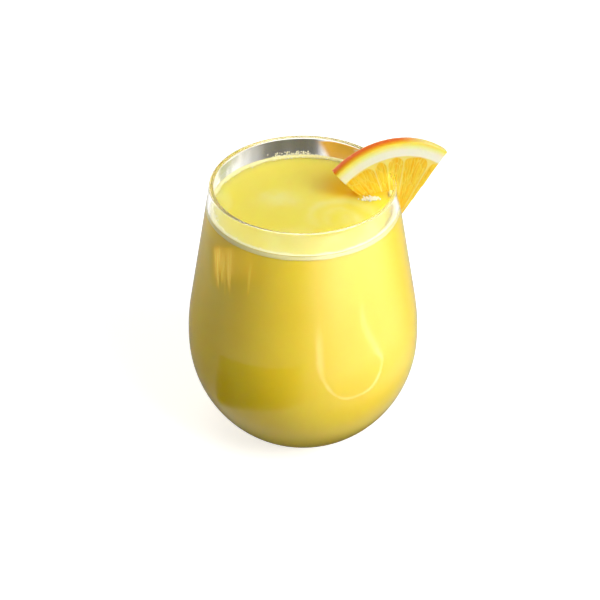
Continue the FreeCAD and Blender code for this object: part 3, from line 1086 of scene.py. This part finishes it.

# %% [markdown]
# ## What stands behind the glass, and above
# Above the juice the far wall shows what stands behind it: something dark in the middle and a
# little green on the left. A warm strip with a slanting edge on the right is a painted reflection
# of the slice in the far wall. These cards can be seen through the glass as well. A bright window
# overhead makes the lip shine.

# %% Strips behind the glass and the window overhead
strip_near, strip_far = 170, 290
dark_far = 262
strip_y, strip_x = grid_of(np.linspace(strip_near, strip_far, 40), np.linspace(-78, 45, 130))
strip = np.stack([strip_x * MM, strip_y * MM, np.full(strip_x.shape, 2 * card_gap)], -1)
strip_ends = band(strip_y, strip_near, 190, 250, dark_far)
lower = 1 - (strip_y - strip_near) / (dark_far - strip_near)
blotches = soft_noise(strip_x / 13, strip_y / 40, seed=71, octaves=3)
darkness = smooth_step(-54, -14, strip_x + 7 * blotches) * smooth_step(19, 7, strip_x + 3 * lower)
dark_tone = 0.12 + 0.50 * (1 - darkness) + 0.10 * blotches
dark_cover = np.clip(darkness * 1.25, 0, 1) * strip_ends
mirrored_card("grey_behind", strip, dark_tone, dark_cover, (0.96, 0.95, 1.0), through_glass=True)

# Painted reflection of the slice: a warm strip behind the glass, seen in it and through it.
warm_cover = smooth_step(-2, 3, strip_x - 28 * lower) * smooth_step(42, 32, strip_x)
warm_cover = warm_cover * band(strip_y, strip_near, 190, 280, strip_far)
mirrored_card("painted_slice_reflection", strip + upright * card_gap, 0.58 + 0.30 * blotches, warm_cover,
              (1.0, 0.49, 0.055), through_glass=True)

green_cover = 0.75 * smooth_step(0, 0.5, blotches) * band(strip_x, -74, -62, -56, -28) * strip_ends
mirrored_card("green_behind", strip + upright * 2 * card_gap, 0.30 + 0.2 * blotches, green_cover,
              (0.72, 0.85, 0.42), through_glass=True)

ceiling_height = 0.55
ceiling_tone = 9.0
sky_y, sky_x = grid_of(np.linspace(-0.28, 0.22, 12), np.linspace(-0.3, 0.3, 12))
ceiling = np.stack([sky_x, sky_y, np.full(sky_x.shape, ceiling_height)], -1)
mirrored_card("ceiling_window", ceiling, np.full(sky_x.shape, ceiling_tone), np.ones(sky_x.shape))

# %% [markdown]
# ## The lamps
# The main light is a window high on the right, so the juice is bright on that side and falls
# off to the left. A weak skylight opens the top, and a weak warm lamp fills the back.

# %% Lamps
middle_of_glass = Vector((0, 0, glass_height / 2))


def window(name, place, width, height, power, colour=(1, 1, 1)):
    """A rectangular area lamp that faces the middle of the glass."""
    data = bpy.data.lights.new(name, "AREA")
    data.shape, data.size, data.size_y = "RECTANGLE", width, height
    data.energy, data.color = power, colour
    lamp = bpy.data.objects.new(name, data)
    lamp.location = place
    lamp.rotation_euler = (middle_of_glass - Vector(place)).to_track_quat("-Z", "Y").to_euler()
    bpy.context.scene.collection.objects.link(lamp)


window("window_right", (0.50, -0.36, 0.60), width=0.40, height=0.40, power=4.6)
window("skylight", (-0.20, 0.20, 0.80), width=0.5, height=0.4, power=1.0)
window("fill_behind", (-0.42, 0.58, 0.20), width=0.5, height=0.3, power=1.4, colour=(1.0, 0.92, 0.78))

# %% [markdown]
# ## The camera
# It stands in front of the glass, less than half a metre away, and looks down on it, so that
# the top opens as an ellipse and the belly hides the base.

# %% Camera
view_down = math.radians(37.81)
view_distance = 0.450
aim_height = 0.0595
sensor = 36.0
focal_length = 67.4
sideways_shift = -0.005
nearest_seen = 0.01

camera_data = bpy.data.cameras.new("camera")
camera_data.sensor_width = sensor
camera_data.lens = focal_length
camera_data.shift_x = sideways_shift
camera_data.clip_start = nearest_seen
camera = bpy.data.objects.new("camera", camera_data)
camera_height = aim_height + view_distance * math.sin(view_down)
camera.location = (0, -view_distance * math.cos(view_down), camera_height)
camera.rotation_euler = (math.pi / 2 - view_down, 0, 0)
bpy.context.scene.collection.objects.link(camera)
bpy.context.scene.camera = camera
bpy.context.scene.view_settings.view_transform = "Standard"

# %% [markdown]
# ## Paths of light
# Light runs many times from wall to wall inside the lip, so it gets more bounces than usual.
# With the usual few the lip turns black.

# %% Bounces
paths = bpy.context.scene.cycles
paths.max_bounces = 20
paths.glossy_bounces = 14
paths.transmission_bounces = 20
